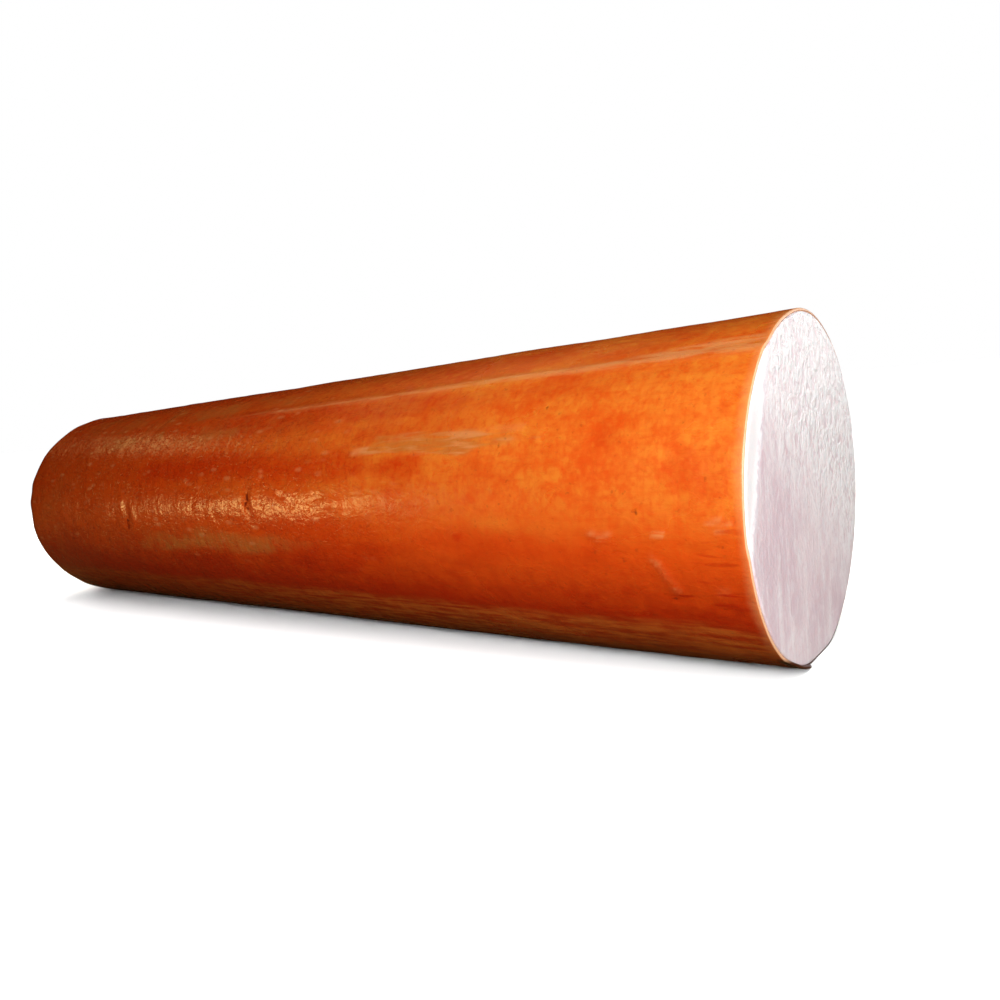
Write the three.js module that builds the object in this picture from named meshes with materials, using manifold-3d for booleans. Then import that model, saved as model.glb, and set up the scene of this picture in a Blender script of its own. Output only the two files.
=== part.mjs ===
// A large cured sausage in a natural bung casing, cut square at one end and naturally closed at the
// other. It lies on its side on the strip that its own weight has flattened.
// Millimetres, +Z up. The sausage runs along X with its cut face towards +X.

import * as THREE from 'three';
import { mergeVertices } from 'three/addons/utils/BufferGeometryUtils.js';
import Module from 'manifold-3d';

// Driving dimensions.
const length = 418;          // blind end to cut face
const cutDiameter = 105;     // across the casing at the cut face
const farDiameter = 99;      // across the casing where the blind end begins to round
const domeDepth = 30;        // how far the blind end bulges along the axis
const casingWall = 0.9;      // thickness of the skin
const skinClearance = 0.3;   // between the skin and the meat
const restHalfWidth = 12;    // half the width of the flattened strip, at the cut face

// How finely the round shapes are stepped, and how near two corners lie when they are one.
const segmentsAround = 72;
const domeSteps = 9;
const barrelSteps = 8;
const weldDistance = 1e-4;

const wasm = await Module();
wasm.setup();

// The barrel widens evenly, and the sausage leans by that half angle so that its underside is level.
const barrelLength = length - domeDepth;
const lean = Math.atan((cutDiameter - farDiameter) / 2 / barrelLength);
const restSag = cutDiameter / 2 - Math.sqrt((cutDiameter / 2) ** 2 - restHalfWidth ** 2);

// A closed geometry as a solid that can be cut.
function toSolid(geometry) {
  geometry.deleteAttribute('normal');
  geometry.deleteAttribute('uv');
  const merged = mergeVertices(geometry, weldDistance);
  return new wasm.Manifold(new wasm.Mesh({
    numProp: 3,
    vertProperties: new Float32Array(merged.attributes.position.array),
    triVerts: new Uint32Array(merged.index.array),
  }));
}

// A solid as a named mesh with the finish of its material.
function toMesh(solid, name, finish) {
  const { vertProperties, triVerts } = solid.getMesh();
  const geometry = new THREE.BufferGeometry();
  geometry.setAttribute('position', new THREE.BufferAttribute(vertProperties, 3));
  geometry.setIndex(new THREE.BufferAttribute(triVerts, 1));
  geometry.computeVertexNormals();
  const mesh = new THREE.Mesh(geometry, new THREE.MeshStandardMaterial(finish));
  mesh.name = name;
  return mesh;
}

// Half outline of the sausage, a given depth below its outer surface. It runs from the tip of the
// blind end, over the dome and along the barrel, to a little beyond the cut.
function outline(depth) {
  const reach = domeDepth - depth;
  const domeRadius = farDiameter / 2 - depth;
  const pastTheCut = 1.1;
  const points = [];
  for (let step = 0; step < domeSteps; step += 1) {
    const angle = (step / domeSteps) * (Math.PI / 2);
    const along = domeDepth - reach * Math.cos(angle);
    points.push(new THREE.Vector2(domeRadius * Math.sin(angle), along));
  }
  for (let step = 0; step <= barrelSteps; step += 1) {
    const along = (step / barrelSteps) * barrelLength * pastTheCut;
    points.push(new THREE.Vector2(domeRadius + Math.tan(lean) * along, domeDepth + along));
  }
  points.push(new THREE.Vector2(0, points.at(-1).y));
  return points;
}

// Everything a given depth below the outer surface: turned round the axis, leaned until the
// underside is level, flattened where it rests and cut off square at the face.
function sausageBody(depth) {
  const turned = new THREE.LatheGeometry(outline(depth), segmentsAround);
  turned.rotateZ(-Math.PI / 2);
  turned.translate(-length, 0, 0);
  turned.rotateY(-lean);
  turned.translate(length / 2, 0, (cutDiameter / 2) * Math.cos(lean) - restSag);
  const room = new THREE.BoxGeometry(2 * length, 2 * cutDiameter, 2 * cutDiameter);
  room.translate(-length / 2, 0, cutDiameter + depth);
  return toSolid(turned).intersect(toSolid(room));
}

const innerFace = sausageBody(casingWall);
const casingSolid = sausageBody(0).subtract(innerFace);
const fillingSolid = sausageBody(casingWall + skinClearance);

const sausage = new THREE.Group();
sausage.add(toMesh(casingSolid, 'casing', { color: 0xd9591f, roughness: 0.28, metalness: 0 }));
sausage.add(toMesh(fillingSolid, 'filling', { color: 0xe6cfd2, roughness: 0.5, metalness: 0 }));

export default sausage;
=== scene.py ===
"""A large cured sausage in a natural casing, cut square at one end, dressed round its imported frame.

Metres, +Z up. The sausage lies along X on the strip that its weight has flattened, with its cut face
towards +X. A place on its surface is given by its distance along X and by its angle round the axis,
which is 0 on the -Y side and rises towards the top.
"""

import logging
import math
from dataclasses import dataclass, field
from enum import Enum

import bmesh
import bpy
from mathutils import Matrix, Vector, noise


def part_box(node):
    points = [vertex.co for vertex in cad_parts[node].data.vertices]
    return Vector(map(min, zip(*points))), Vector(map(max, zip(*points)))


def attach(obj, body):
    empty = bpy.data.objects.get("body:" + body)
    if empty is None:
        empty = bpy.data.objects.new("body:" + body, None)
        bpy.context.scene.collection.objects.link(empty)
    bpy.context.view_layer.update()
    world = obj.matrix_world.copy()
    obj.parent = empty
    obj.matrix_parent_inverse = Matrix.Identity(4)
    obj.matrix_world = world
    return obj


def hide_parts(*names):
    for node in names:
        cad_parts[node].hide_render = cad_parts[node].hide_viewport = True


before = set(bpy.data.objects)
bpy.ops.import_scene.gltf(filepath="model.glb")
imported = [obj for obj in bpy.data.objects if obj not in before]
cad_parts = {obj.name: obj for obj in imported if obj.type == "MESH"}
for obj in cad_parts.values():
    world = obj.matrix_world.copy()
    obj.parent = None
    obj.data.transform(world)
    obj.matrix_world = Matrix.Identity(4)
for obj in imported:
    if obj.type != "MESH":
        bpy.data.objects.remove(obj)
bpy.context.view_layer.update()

log = logging.getLogger("sausage")

MM = 0.001
WELD = 0.01 * MM
FROM_CUT = "from_cut"

# Where a Mix node has its two colours and its mixed one. Their names serve its other types too.
MIX_FIRST, MIX_SECOND, MIX_RESULT = 6, 7, 2

Colour = tuple[float, float, float]
Socket = bpy.types.NodeSocket
Layer = tuple[Socket, float, float, float, Colour]


def eased(value: float, low: float, high: float) -> float:
    """Rises smoothly from 0 at low to 1 at high, or falls where high is under low."""
    share = min(max((value - low) / (high - low), 0.0), 1.0)
    return share * share * (3 - 2 * share)


def wave(x: float, y: float, z: float) -> float:
    """Smooth noise of about -1 to 1 at a point, with no kinks in its slope."""
    return noise.noise(Vector((x, y, z)), noise_basis="PERLIN_NEW")


# ---------------------------------------------------------------------------
# Marks on the skin
# ---------------------------------------------------------------------------

# Past this many half widths, a crease does nothing.
CREASE_REACH = 3.0
# A blotch starts at the first of these shares of its outline and is at full strength at the second.
BLOTCH_OUTER, BLOTCH_INNER = 1.35, 0.45


class SkinMark(Enum):
    """What a mark does to the skin's colour, named as the attribute that carries it. Some are the skin's
    own tints and spots; others are painted shade, highlights and reflections.
    """

    # Dark specks, and painted shade in creases.
    DARK = "specks_and_crease_shade"
    TAN = "tan_marks"
    # Painted reflections in bands, broken into hoops.
    REFLECTION = "reflection_marks"
    AMBER = "amber_marks"
    RED = "red_marks"
    # Painted highlights on the ridge, welts and edges.
    HIGHLIGHT = "highlight_marks"
    DASHED = "dashed_marks"


@dataclass(frozen=True)
class Crease:
    """A short furrow or welt in the skin, between two places on it.

    Attributes:
        start: Distance along X in millimetres, and angle in degrees.
        end: The other end, in the same form.
        height: How far it stands out, in millimetres. A furrow's is negative.
        width: Half its width, in millimetres.
        amount: How strongly it changes the colour, from 0 to 1: painted shade in a dark furrow, a painted
            highlight on a pale welt.
        stain: What that does to the colour.
    """

    start: tuple[float, float]
    end: tuple[float, float]
    height: float
    width: float
    amount: float = 0.0
    stain: SkinMark = SkinMark.DARK

    def away(self, spot: Vector, arc: float) -> float:
        """How far a place lies from the crease.

        Args:
            spot: Its distance along X and its distance round the skin, in millimetres.
            arc: How many millimetres of skin a degree is.

        Returns:
            The distance in half widths.
        """
        start = Vector((self.start[0], self.start[1] * arc))
        span = Vector((self.end[0], self.end[1] * arc)) - start
        share = min(max((spot - start).dot(span) / span.length_squared, 0.0), 1.0)
        return (spot - start - span * share).length / self.width


@dataclass(frozen=True)
class Blotch:
    """A patch of another colour in the skin, or of painted reflection.

    Attributes:
        x: Distance of its middle along X, in millimetres.
        angle: Angle of its middle, in degrees.
        half_length: Half its length along X, in millimetres.
        half_width: Half its width round the skin, in millimetres.
        stain: What it does to the colour.
        amount: How strongly, from 0 to 1.
        height: How far it stands out, in millimetres.
    """

    x: float
    angle: float
    half_length: float
    half_width: float
    stain: SkinMark
    amount: float
    height: float = 0.0

    def away(self, spot: Vector, arc: float) -> float:
        """How far a place lies from the middle of the patch.

        Args:
            spot: Its distance along X and its distance round the skin, in millimetres.
            arc: How many millimetres of skin a degree is.

        Returns:
            The distance, which is 1 on the patch's outline.
        """
        along = (spot.x - self.x) / self.half_length
        across = (spot.y - self.angle * arc) / self.half_width
        return math.hypot(along, across)


CREASES = (
    # The fold near the middle, with painted shade in it, and the folds beside it.
    Crease((6.5, 16.0), (8.0, 11.0), -0.25, 1.0, 0.50),
    Crease((8.0, 11.0), (8.5, 8.0), -0.38, 1.1, 0.80),
    Crease((7.0, 6.5), (8.5, 4.0), -0.35, 1.2, 0.75),
    Crease((8.5, 4.0), (10.0, -0.5), -0.25, 1.0, 0.50),
    Crease((11.5, 10.0), (13.0, 4.0), 0.30, 1.4),
    Crease((3.5, 10.0), (5.0, 4.0), 0.25, 1.4),
    # The fold on the far half, with painted shade in it.
    Crease((-84.0, 6.0), (-83.0, 1.0), -0.30, 1.5, 0.40),
    Crease((-84.0, -2.0), (-84.0, -5.0), -0.32, 1.7, 0.70),
    Crease((-79.0, 5.0), (-78.0, -2.0), 0.30, 1.6),
    Crease((-89.0, 10.0), (-88.0, 4.0), 0.30, 1.6),
    # Folds in the wet skin of the middle.
    Crease((28.0, 9.5), (36.0, 6.0), -0.22, 1.2),
    Crease((44.0, 7.0), (52.0, 8.5), -0.25, 1.3),
    Crease((55.0, 6.5), (61.0, 5.0), 0.25, 1.5),
    # Edges of the lifted skin, with painted highlights on them.
    Crease((67.0, 26.0), (74.0, 26.8), 0.22, 0.9, 0.70, SkinMark.HIGHLIGHT),
    Crease((84.0, 30.2), (140.0, 30.8), 0.12, 0.7, 0.40, SkinMark.HIGHLIGHT),
    # Nicks, welts and streaks towards the cut: painted shade in the furrows, painted highlights on the
    # welts.
    Crease((160.5, -6.4), (163.5, -6.9), -0.30, 0.9, 0.45),
    Crease((164.0, -4.4), (166.5, -5.6), 0.30, 0.7, 0.45, SkinMark.HIGHLIGHT),
    Crease((167.0, -5.8), (170.0, -4.6), 0.30, 0.8, 0.35, SkinMark.HIGHLIGHT),
    Crease((183.5, -4.2), (186.5, -4.4), 0.24, 0.5, 0.70, SkinMark.HIGHLIGHT),
    Crease((199.0, -1.5), (202.0, -0.2), 0.30, 0.8, 0.45, SkinMark.HIGHLIGHT),
    Crease((201.5, -3.0), (205.0, -1.6), 0.30, 0.8, 0.45, SkinMark.HIGHLIGHT),
    Crease((193.0, -9.4), (206.0, -6.6), -0.22, 1.1, 0.30),
    Crease((195.0, -7.2), (205.0, -5.4), 0.20, 1.2),
    Crease((182.0, -11.6), (184.0, -14.0), 0.26, 0.7, 0.40, SkinMark.HIGHLIGHT),
    Crease((184.0, -14.0), (185.5, -17.5), 0.28, 1.0, 0.12, SkinMark.HIGHLIGHT),
    Crease((185.5, -17.5), (187.5, -22.5), 0.28, 1.1, 0.08, SkinMark.HIGHLIGHT),
    Crease((187.0, -20.5), (188.0, -22.0), 0.16, 0.6, 0.35, SkinMark.HIGHLIGHT),
    Crease((183.5, -24.4), (187.0, -25.2), -0.30, 0.9, 0.55),
    Crease((187.0, -25.2), (197.0, -24.8), -0.22, 0.8, 0.40),
    Crease((199.0, -21.8), (202.0, -21.7), 0.20, 0.5, 0.60, SkinMark.HIGHLIGHT),
    Crease((203.0, -20.0), (206.0, -20.4), -0.22, 0.7, 0.50),
    Crease((204.0, -24.4), (207.0, -24.8), -0.22, 0.8, 0.50),
    Crease((196.0, -27.6), (201.0, -28.2), -0.22, 0.7, 0.45),
    Crease((194.0, -16.0), (204.0, -15.4), -0.16, 0.7, 0.30),
)

BLOTCHES = (
    # Lifted skin.
    Blotch(106.0, 27.4, 34.0, 4.8, SkinMark.TAN, 1.0, 0.20),
    Blotch(77.0, 26.6, 8.0, 2.2, SkinMark.TAN, 1.0, 0.20),
    # Painted reflections in bands along the far half and on the blind end, broken into hoops.
    Blotch(-28.0, -11.4, 66.0, 5.0, SkinMark.REFLECTION, 0.75),
    Blotch(-60.0, 44.0, 80.0, 6.0, SkinMark.REFLECTION, 0.60),
    Blotch(-70.0, 61.0, 95.0, 9.0, SkinMark.REFLECTION, 0.60),
    Blotch(-150.0, 2.0, 26.0, 26.0, SkinMark.REFLECTION, 0.22),
    # Deeper colour.
    Blotch(-20.0, 24.0, 60.0, 6.0, SkinMark.RED, 0.70),
    Blotch(10.0, 47.0, 50.0, 7.0, SkinMark.RED, 0.65),
    Blotch(42.0, -4.0, 46.0, 5.0, SkinMark.RED, 0.55),
    Blotch(46.0, -14.0, 40.0, 8.0, SkinMark.RED, 0.70),
    Blotch(50.0, 21.0, 34.0, 6.0, SkinMark.RED, 0.80),
    Blotch(84.0, 45.0, 34.0, 6.0, SkinMark.RED, 0.80),
    Blotch(90.0, 20.0, 18.0, 5.0, SkinMark.RED, 0.80),
    Blotch(92.0, 9.0, 14.0, 10.0, SkinMark.RED, 0.45),
    Blotch(98.0, 34.0, 34.0, 5.0, SkinMark.RED, 0.45),
    Blotch(115.0, 12.0, 22.0, 8.0, SkinMark.RED, 0.35),
    Blotch(115.0, -6.5, 1.9, 1.4, SkinMark.RED, 1.0),
    Blotch(130.0, 65.0, 80.0, 8.0, SkinMark.RED, 0.40),
    Blotch(135.0, -9.0, 44.0, 6.0, SkinMark.RED, 0.40),
    Blotch(150.0, 46.0, 40.0, 4.5, SkinMark.RED, 0.35),
    Blotch(169.0, 25.0, 5.0, 3.5, SkinMark.RED, 0.40),
    Blotch(197.0, 12.0, 8.0, 9.0, SkinMark.RED, 0.35),
    # Yellower colour.
    Blotch(132.0, -4.0, 10.0, 5.0, SkinMark.AMBER, 0.6),
    Blotch(138.0, -17.0, 12.0, 5.0, SkinMark.AMBER, 0.6),
    Blotch(150.0, -7.0, 12.0, 6.0, SkinMark.AMBER, 0.5),
    Blotch(172.0, -24.0, 10.0, 7.0, SkinMark.AMBER, 0.4),
    # Dark specks.
    Blotch(101.0, 23.6, 1.2, 1.0, SkinMark.DARK, 0.5),
    Blotch(132.0, 24.6, 1.3, 1.1, SkinMark.DARK, 0.5),
    Blotch(147.0, 36.9, 1.3, 1.1, SkinMark.DARK, 0.5),
    Blotch(179.0, 2.5, 1.2, 1.0, SkinMark.DARK, 0.5),
    # Short dark strokes at the cut.
    Blotch(197.0, -27.0, 14.0, 11.0, SkinMark.DASHED, 1.0),
    Blotch(202.0, -10.0, 8.0, 8.0, SkinMark.DASHED, 0.5),
)


# ---------------------------------------------------------------------------
# The shape that skin and meat share
# ---------------------------------------------------------------------------


@dataclass
class SausageForm:
    """The outer shape of the sausage and its natural relief.

    Attributes:
        low: Lowest corner of the skin's box in the frame.
        high: Highest corner of the skin's box in the frame.
        far_radius: Radius where the blind end begins to round.
        dome_depth: How far the blind end bulges along the axis.
        ridge_angle: Angle of the long ridge on the upper front, in degrees.
        ridge_height: How far the ridge stands out.
        shelf_depth: How far the skin falls back just above the ridge.
        lump_height: How far the widest lumps stand out.
        dent_height: How far the smaller lumps and dents do.
        ripple_height: How far the ripples round the skin do.
        crinkle_height: How far the finest crinkle does.
        pleats: How many pleats gather round the tip of the blind end.
        pleat_height: How far the pleats stand out.
        slice_angle: Which way from the axis the knife's first, thin slice lies, in degrees.
        slice_start: Distance from the axis where it begins.
        slice_step: How far it lies below the rest of the cut.
        cut_reach: How far behind the cut the shape still follows the cut's own unevenness.
        settle: How softly the underside passes into the flat strip.
    """

    low: Vector
    high: Vector
    far_radius: float = 49.5 * MM
    dome_depth: float = 30.0 * MM
    ridge_angle: float = 53.0
    ridge_height: float = 0.34 * MM
    shelf_depth: float = 0.30 * MM
    lump_height: float = 0.45 * MM
    dent_height: float = 0.22 * MM
    ripple_height: float = 0.12 * MM
    crinkle_height: float = 0.06 * MM
    pleats: int = 17
    pleat_height: float = 0.28 * MM
    slice_angle: float = 21.0
    slice_start: float = 43.0 * MM
    slice_step: float = 0.35 * MM
    cut_reach: float = 6.0 * MM
    settle: float = 0.35 * MM

    @property
    def cut_radius(self) -> float:
        """Radius at the cut face."""
        return (self.high.y - self.low.y) / 2

    @property
    def dome_base(self) -> float:
        """Where along X the blind end begins to round."""
        return self.low.x + self.dome_depth

    @property
    def sag(self) -> float:
        """How much of the round underside the flat strip takes away."""
        return 2 * self.cut_radius - (self.high.z - self.low.z)

    def barrel_radius(self, x: float) -> float:
        """The barrel's radius at a place along X, and on the dome the radius at its base."""
        share = (x - self.dome_base) / (self.high.x - self.dome_base)
        return self.far_radius + (self.cut_radius - self.far_radius) * max(share, 0.0)

    def outline(self, rows: int, dome_rows: int, depth: float) -> list[tuple[float, float]]:
        """Half outline at a depth below the surface, from the cut to the tip of the blind end.

        Args:
            rows: How many steps the barrel has. They are shorter towards the cut.
            dome_rows: How many steps the dome has.
            depth: How far below the outer surface it lies.

        Returns:
            The distance along X and the radius of each point.
        """
        crowding = 0.3
        barrel = []
        for row in range(rows):
            share = row / rows
            share *= 1 - crowding + crowding * share
            x = self.high.x + (self.dome_base - self.high.x) * share
            barrel.append((x, self.barrel_radius(x) - depth))
        dome = []
        for row in range(dome_rows + 1):
            turn = row / dome_rows * math.pi / 2
            x = self.dome_base - (self.dome_depth - depth) * math.sin(turn)
            dome.append((x, (self.far_radius - depth) * math.cos(turn)))
        return barrel + dome

    def outward(self, x: float, angle: float, radius: float) -> Vector:
        """The direction that points straight out of the surface.

        Args:
            x: A place's distance along X.
            angle: Its angle round the axis, in radians.
            radius: Its distance from the axis.

        Returns:
            A direction one long.
        """
        lean = 0.0
        if x < self.dome_base:
            along = (self.dome_base - x) / self.dome_depth
            across = radius / self.far_radius
            lean = math.atan2(along / self.dome_depth, max(across, 1e-6) / self.far_radius)
        flat = math.cos(lean)
        return Vector((-math.sin(lean), -math.cos(angle) * flat, math.sin(angle) * flat))

    @staticmethod
    def skewed(spot: Vector) -> Vector:
        """A place, turned so that noise drawn on it doesn't line up with the axes."""
        return Matrix.Rotation(0.6, 3, "Y") @ Matrix.Rotation(0.8, 3, "Z") @ spot

    def above_ridge(self, x: float, angle: float) -> float:
        """How many degrees a place lies above the long ridge, which wanders a little."""
        wander = 2.5 * wave(x * 9, 3.1, 0.4)
        return math.degrees(angle) - self.ridge_angle - wander

    def ridge_highlight(self, x: float, angle: float) -> float:
        """How much painted highlight the ridge has: a line on its crest, and near the cut a band above
        it.

        Args:
            x: A place's distance along X.
            angle: Its angle round the axis, in radians.

        Returns:
            A share from 0 to 1.
        """
        above = self.above_ridge(x, angle)
        line = math.exp(-((above / 1.3) ** 2)) * eased(x, -0.04, 0.04)
        top = 3.2 + 5.5 * eased(x, 0.145, 0.205)
        band = eased(above, -1.2, 0.0) * eased(above, top, top - 2.0) * eased(x, 0.06, 0.13)
        return max(0.55 * line, 0.72 * band)

    def broad_relief(self, spot: Vector, x: float, angle: float) -> float:
        """Lumps, dents, the long ridge and the pleats of the blind end.

        Args:
            spot: The place on the plain surface.
            x: Its distance along X.
            angle: Its angle round the axis, in radians.

        Returns:
            How far the surface stands out there.
        """
        lumps = wave(spot.x * 11, spot.y * 16, spot.z * 16)
        dents = wave(spot.x * 38 + spot.z * 20, spot.y * 60, spot.z * 60 - spot.x * 12)
        height = self.lump_height * lumps + self.dent_height * dents
        along = eased(x, -0.10, 0.03)
        above = self.above_ridge(x, angle) / 3.0
        height += self.ridge_height * along * math.exp(-above * above)
        shelf = eased(above, 0.0, 1.5) * eased(above, 14.0, 6.0)
        height -= self.shelf_depth * along * shelf
        pleats = math.sin(angle * self.pleats + 5 * wave(*spot * 30))
        towards_tip = eased(x, self.dome_base + 0.012, self.low.x + 0.006)
        near_tip = eased(x, self.low.x + 0.0004, self.low.x + 0.006)
        return height + self.pleat_height * pleats * towards_tip * near_tip

    def fine_relief(self, spot: Vector, x: float) -> float:
        """Ripples round the far half and a fine crinkle everywhere.

        Args:
            spot: The place on the plain surface.
            x: Its distance along X.

        Returns:
            How far the surface stands out there.
        """
        ripples = wave(spot.x * 210, spot.y * 45 + spot.x * 60, spot.z * 45)
        crinkle = wave(*self.skewed(spot) * 230)
        far_half = 0.25 + 0.75 * eased(x, 0.08, -0.06)
        return self.ripple_height * ripples * far_half + self.crinkle_height * crinkle

    def near_cut(self, x: float) -> float:
        """How near the cut a place is: 1 at the cut, and 0 where cut_reach ends."""
        return eased(x, self.high.x - self.cut_reach, self.high.x)

    @staticmethod
    def polar(spot: Vector) -> tuple[float, float, float]:
        """A place's distance along X, its angle round the axis and its distance from it."""
        return spot.x, math.atan2(spot.z, -spot.y), math.hypot(spot.y, spot.z)

    def cut_drop(self, y: float, z: float) -> float:
        """How far the cut falls back where the knife's first slice was.

        Args:
            y: A place's distance along Y from the axis.
            z: Its distance above the axis.

        Returns:
            A length from 0 to slice_step.
        """
        turn = math.radians(self.slice_angle)
        past = z * math.sin(turn) - y * math.cos(turn) - self.slice_start
        past += 1.2 * MM * wave(y * 90, z * 70, 1.7)
        return self.slice_step * eased(past, 0.0, 3.2 * MM)

    def settled(self, z: float, floor: float) -> float:
        """A height, raised softly where it would sink under the floor.

        Args:
            z: The height.
            floor: The lowest height that it may have.

        Returns:
            The height, or a little over the floor.
        """
        over = (z - floor) / self.settle
        if over > 30:
            return z
        return floor + self.settle * math.log1p(math.exp(over))

    def laid(self, place: Vector, x: float, depth: float) -> Vector:
        """A place, moved from round the axis to where it is on the sausage that lies on the floor."""
        place.z = self.settled(place.z + self.barrel_radius(x) - self.sag, depth)
        return place


class Turning:
    """A closed shape turned round the sausage's axis from a half outline."""

    def __init__(self, form: SausageForm, steps: int) -> None:
        """Starts an empty outline.

        Args:
            form: The shape that skin and meat share.
            steps: How many steps the full turn has.
        """
        self.form = form
        self.steps = steps
        self.mesh = bmesh.new()
        self.depth = self.mesh.verts.layers.float.new("depth")
        self.last: bmesh.types.BMVert | None = None

    def add(self, x: float, radius: float, depth: float) -> None:
        """Adds the outline's next point.

        Args:
            x: Its distance along X.
            radius: Its distance from the axis.
            depth: How far below the outer surface it lies.
        """
        vert = self.mesh.verts.new((x, -radius, 0.0))
        vert[self.depth] = depth
        if self.last is not None:
            self.mesh.edges.new((self.last, vert))
        self.last = vert

    def spin(self) -> None:
        """Turns the outline once round the axis, closes its poles and faces it outwards."""
        outline = [*self.mesh.verts, *self.mesh.edges]
        bmesh.ops.spin(
            self.mesh,
            geom=outline,
            cent=(0, 0, 0),
            axis=(1, 0, 0),
            angle=math.tau,
            steps=self.steps,
            use_merge=True,
            use_duplicate=False,
        )
        bmesh.ops.remove_doubles(self.mesh, verts=self.mesh.verts[:], dist=WELD)
        bmesh.ops.recalc_face_normals(self.mesh, faces=self.mesh.faces[:])

    def finish(self, name: str) -> bpy.types.Object:
        """The shape as a smooth object at the origin.

        Args:
            name: The object's name.

        Returns:
            The object, linked to the scene.
        """
        data = bpy.data.meshes.new(name)
        self.mesh.to_mesh(data)
        self.mesh.free()
        data.shade_smooth()
        made = bpy.data.objects.new(name, data)
        bpy.context.collection.objects.link(made)
        return made


# ---------------------------------------------------------------------------
# Materials
# ---------------------------------------------------------------------------


class Finish:
    """A material's nodes, added by short calls."""

    def __init__(self, name: str) -> None:
        """Starts a material with one Principled shader.

        Args:
            name: The material's name.
        """
        self.material = bpy.data.materials.new(name)
        self.material.use_nodes = True
        self.nodes = self.material.node_tree.nodes
        self.links = self.material.node_tree.links
        self.shader = self.nodes["Principled BSDF"]
        self.place = self.nodes.new("ShaderNodeTexCoord").outputs["Object"]

    def feed(self, socket: Socket, value: Socket | float | Colour | Vector) -> None:
        """Links a socket to another, or sets it to a plain value.

        Args:
            socket: The input that takes the value.
            value: A node's output, a number, a colour or a place.
        """
        if isinstance(value, bpy.types.NodeSocket):
            self.links.new(value, socket)
        else:
            socket.default_value = value

    def maths(self, operation: str, *values: Socket | float) -> Socket:
        """The result of a sum.

        Args:
            operation: What is done, as the Math node names it.
            values: One to three values that it is done with.

        Returns:
            The result.
        """
        node = self.nodes.new("ShaderNodeMath")
        node.operation = operation
        for socket, value in zip(node.inputs, values):
            self.feed(socket, value)
        return node.outputs[0]

    def plus(self, value: Socket | float, *terms: tuple[Socket, float]) -> Socket:
        """A value with others added to it.

        Args:
            value: What they are added to.
            terms: Each other value, and the factor that it is multiplied by first.

        Returns:
            The sum.
        """
        for term, factor in terms:
            value = self.maths("MULTIPLY_ADD", term, factor, value)
        return value

    def step(self, value: Socket, low: float, high: float, top: float = 1.0) -> Socket:
        """Rises smoothly with a value.

        Args:
            value: What is compared.
            low: Where the rise starts. It may be over high, which turns the value round.
            high: Where it ends.
            top: How high it rises.

        Returns:
            A share from 0 to top.
        """
        node = self.nodes.new("ShaderNodeMapRange")
        node.interpolation_type = "SMOOTHSTEP"
        self.feed(node.inputs["Value"], value)
        node.inputs["From Min"].default_value = low
        node.inputs["From Max"].default_value = high
        node.inputs["To Max"].default_value = top
        return node.outputs["Result"]

    def stretched(self, x: float, y: float, z: float) -> Socket:
        """The piece's own coordinates, drawn out or squeezed.

        Args:
            x: Factor along X. Under 1, it draws a pattern out along X.
            y: Factor along Y.
            z: Factor along Z.

        Returns:
            The coordinates times the factors.
        """
        node = self.nodes.new("ShaderNodeMapping")
        self.feed(node.inputs["Vector"], self.place)
        node.inputs["Scale"].default_value = (x, y, z)
        return node.outputs["Vector"]

    def cloud(self, place: Socket, size: float, detail: float = 2.0, warp: float = 0.0) -> Socket:
        """Soft noise whose lumps are about one size across.

        Args:
            place: The coordinates that it is drawn on.
            size: How wide a lump and its gap are, in metres.
            detail: How many finer layers it has.
            warp: How much it is pulled about.

        Returns:
            A value round 0.5.
        """
        node = self.nodes.new("ShaderNodeTexNoise")
        self.feed(node.inputs["Vector"], place)
        node.inputs["Scale"].default_value = 1 / size
        node.inputs["Detail"].default_value = detail
        node.inputs["Distortion"].default_value = warp
        return node.outputs["Fac"]

    def cells(self, place: Socket, size: float) -> Socket:
        """Distance from the middle of the nearest of many cells.

        Args:
            place: The coordinates that they are drawn on.
            size: How wide a cell is, in metres.

        Returns:
            The distance as a share of the size.
        """
        node = self.nodes.new("ShaderNodeTexVoronoi")
        node.feature = "F1"
        self.feed(node.inputs["Vector"], place)
        node.inputs["Scale"].default_value = 1 / size
        return node.outputs["Distance"]

    def axis(self, which: str) -> Socket:
        """One of the piece's own coordinates.

        Args:
            which: X, Y or Z.

        Returns:
            The coordinate, in metres.
        """
        node = self.nodes.new("ShaderNodeSeparateXYZ")
        self.feed(node.inputs[0], self.place)
        return node.outputs[which]

    def mark(self, name: str) -> Socket:
        """A value that the mesh carries at its vertices.

        Args:
            name: The attribute's name.

        Returns:
            The value.
        """
        node = self.nodes.new("ShaderNodeAttribute")
        node.attribute_name = name
        return node.outputs["Fac"]

    def blend(self, share: Socket | float, first: Socket | Colour, second: Socket | Colour) -> Socket:
        """A colour between two others.

        Args:
            share: How much of the second it takes, from 0 to 1.
            first: One colour.
            second: The other.

        Returns:
            The mixed colour.
        """
        node = self.nodes.new("ShaderNodeMix")
        node.data_type = "RGBA"
        self.feed(node.inputs["Factor"], share)
        for socket, value in ((MIX_FIRST, first), (MIX_SECOND, second)):
            plain = not isinstance(value, bpy.types.NodeSocket)
            self.feed(node.inputs[socket], (*value, 1.0) if plain else value)
        return node.outputs[MIX_RESULT]

    def layered(self, shade: Socket | Colour, *layers: Layer) -> Socket:
        """Lays colours over a shade, each where a value is high.

        Args:
            shade: What they are laid over.
            layers: For each, its value, where it starts, where it ends, its strength and its colour.

        Returns:
            The colour that they make.
        """
        for value, low, high, strength, colour in layers:
            shade = self.blend(self.step(value, low, high, strength), shade, colour)
        return shade

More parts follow.
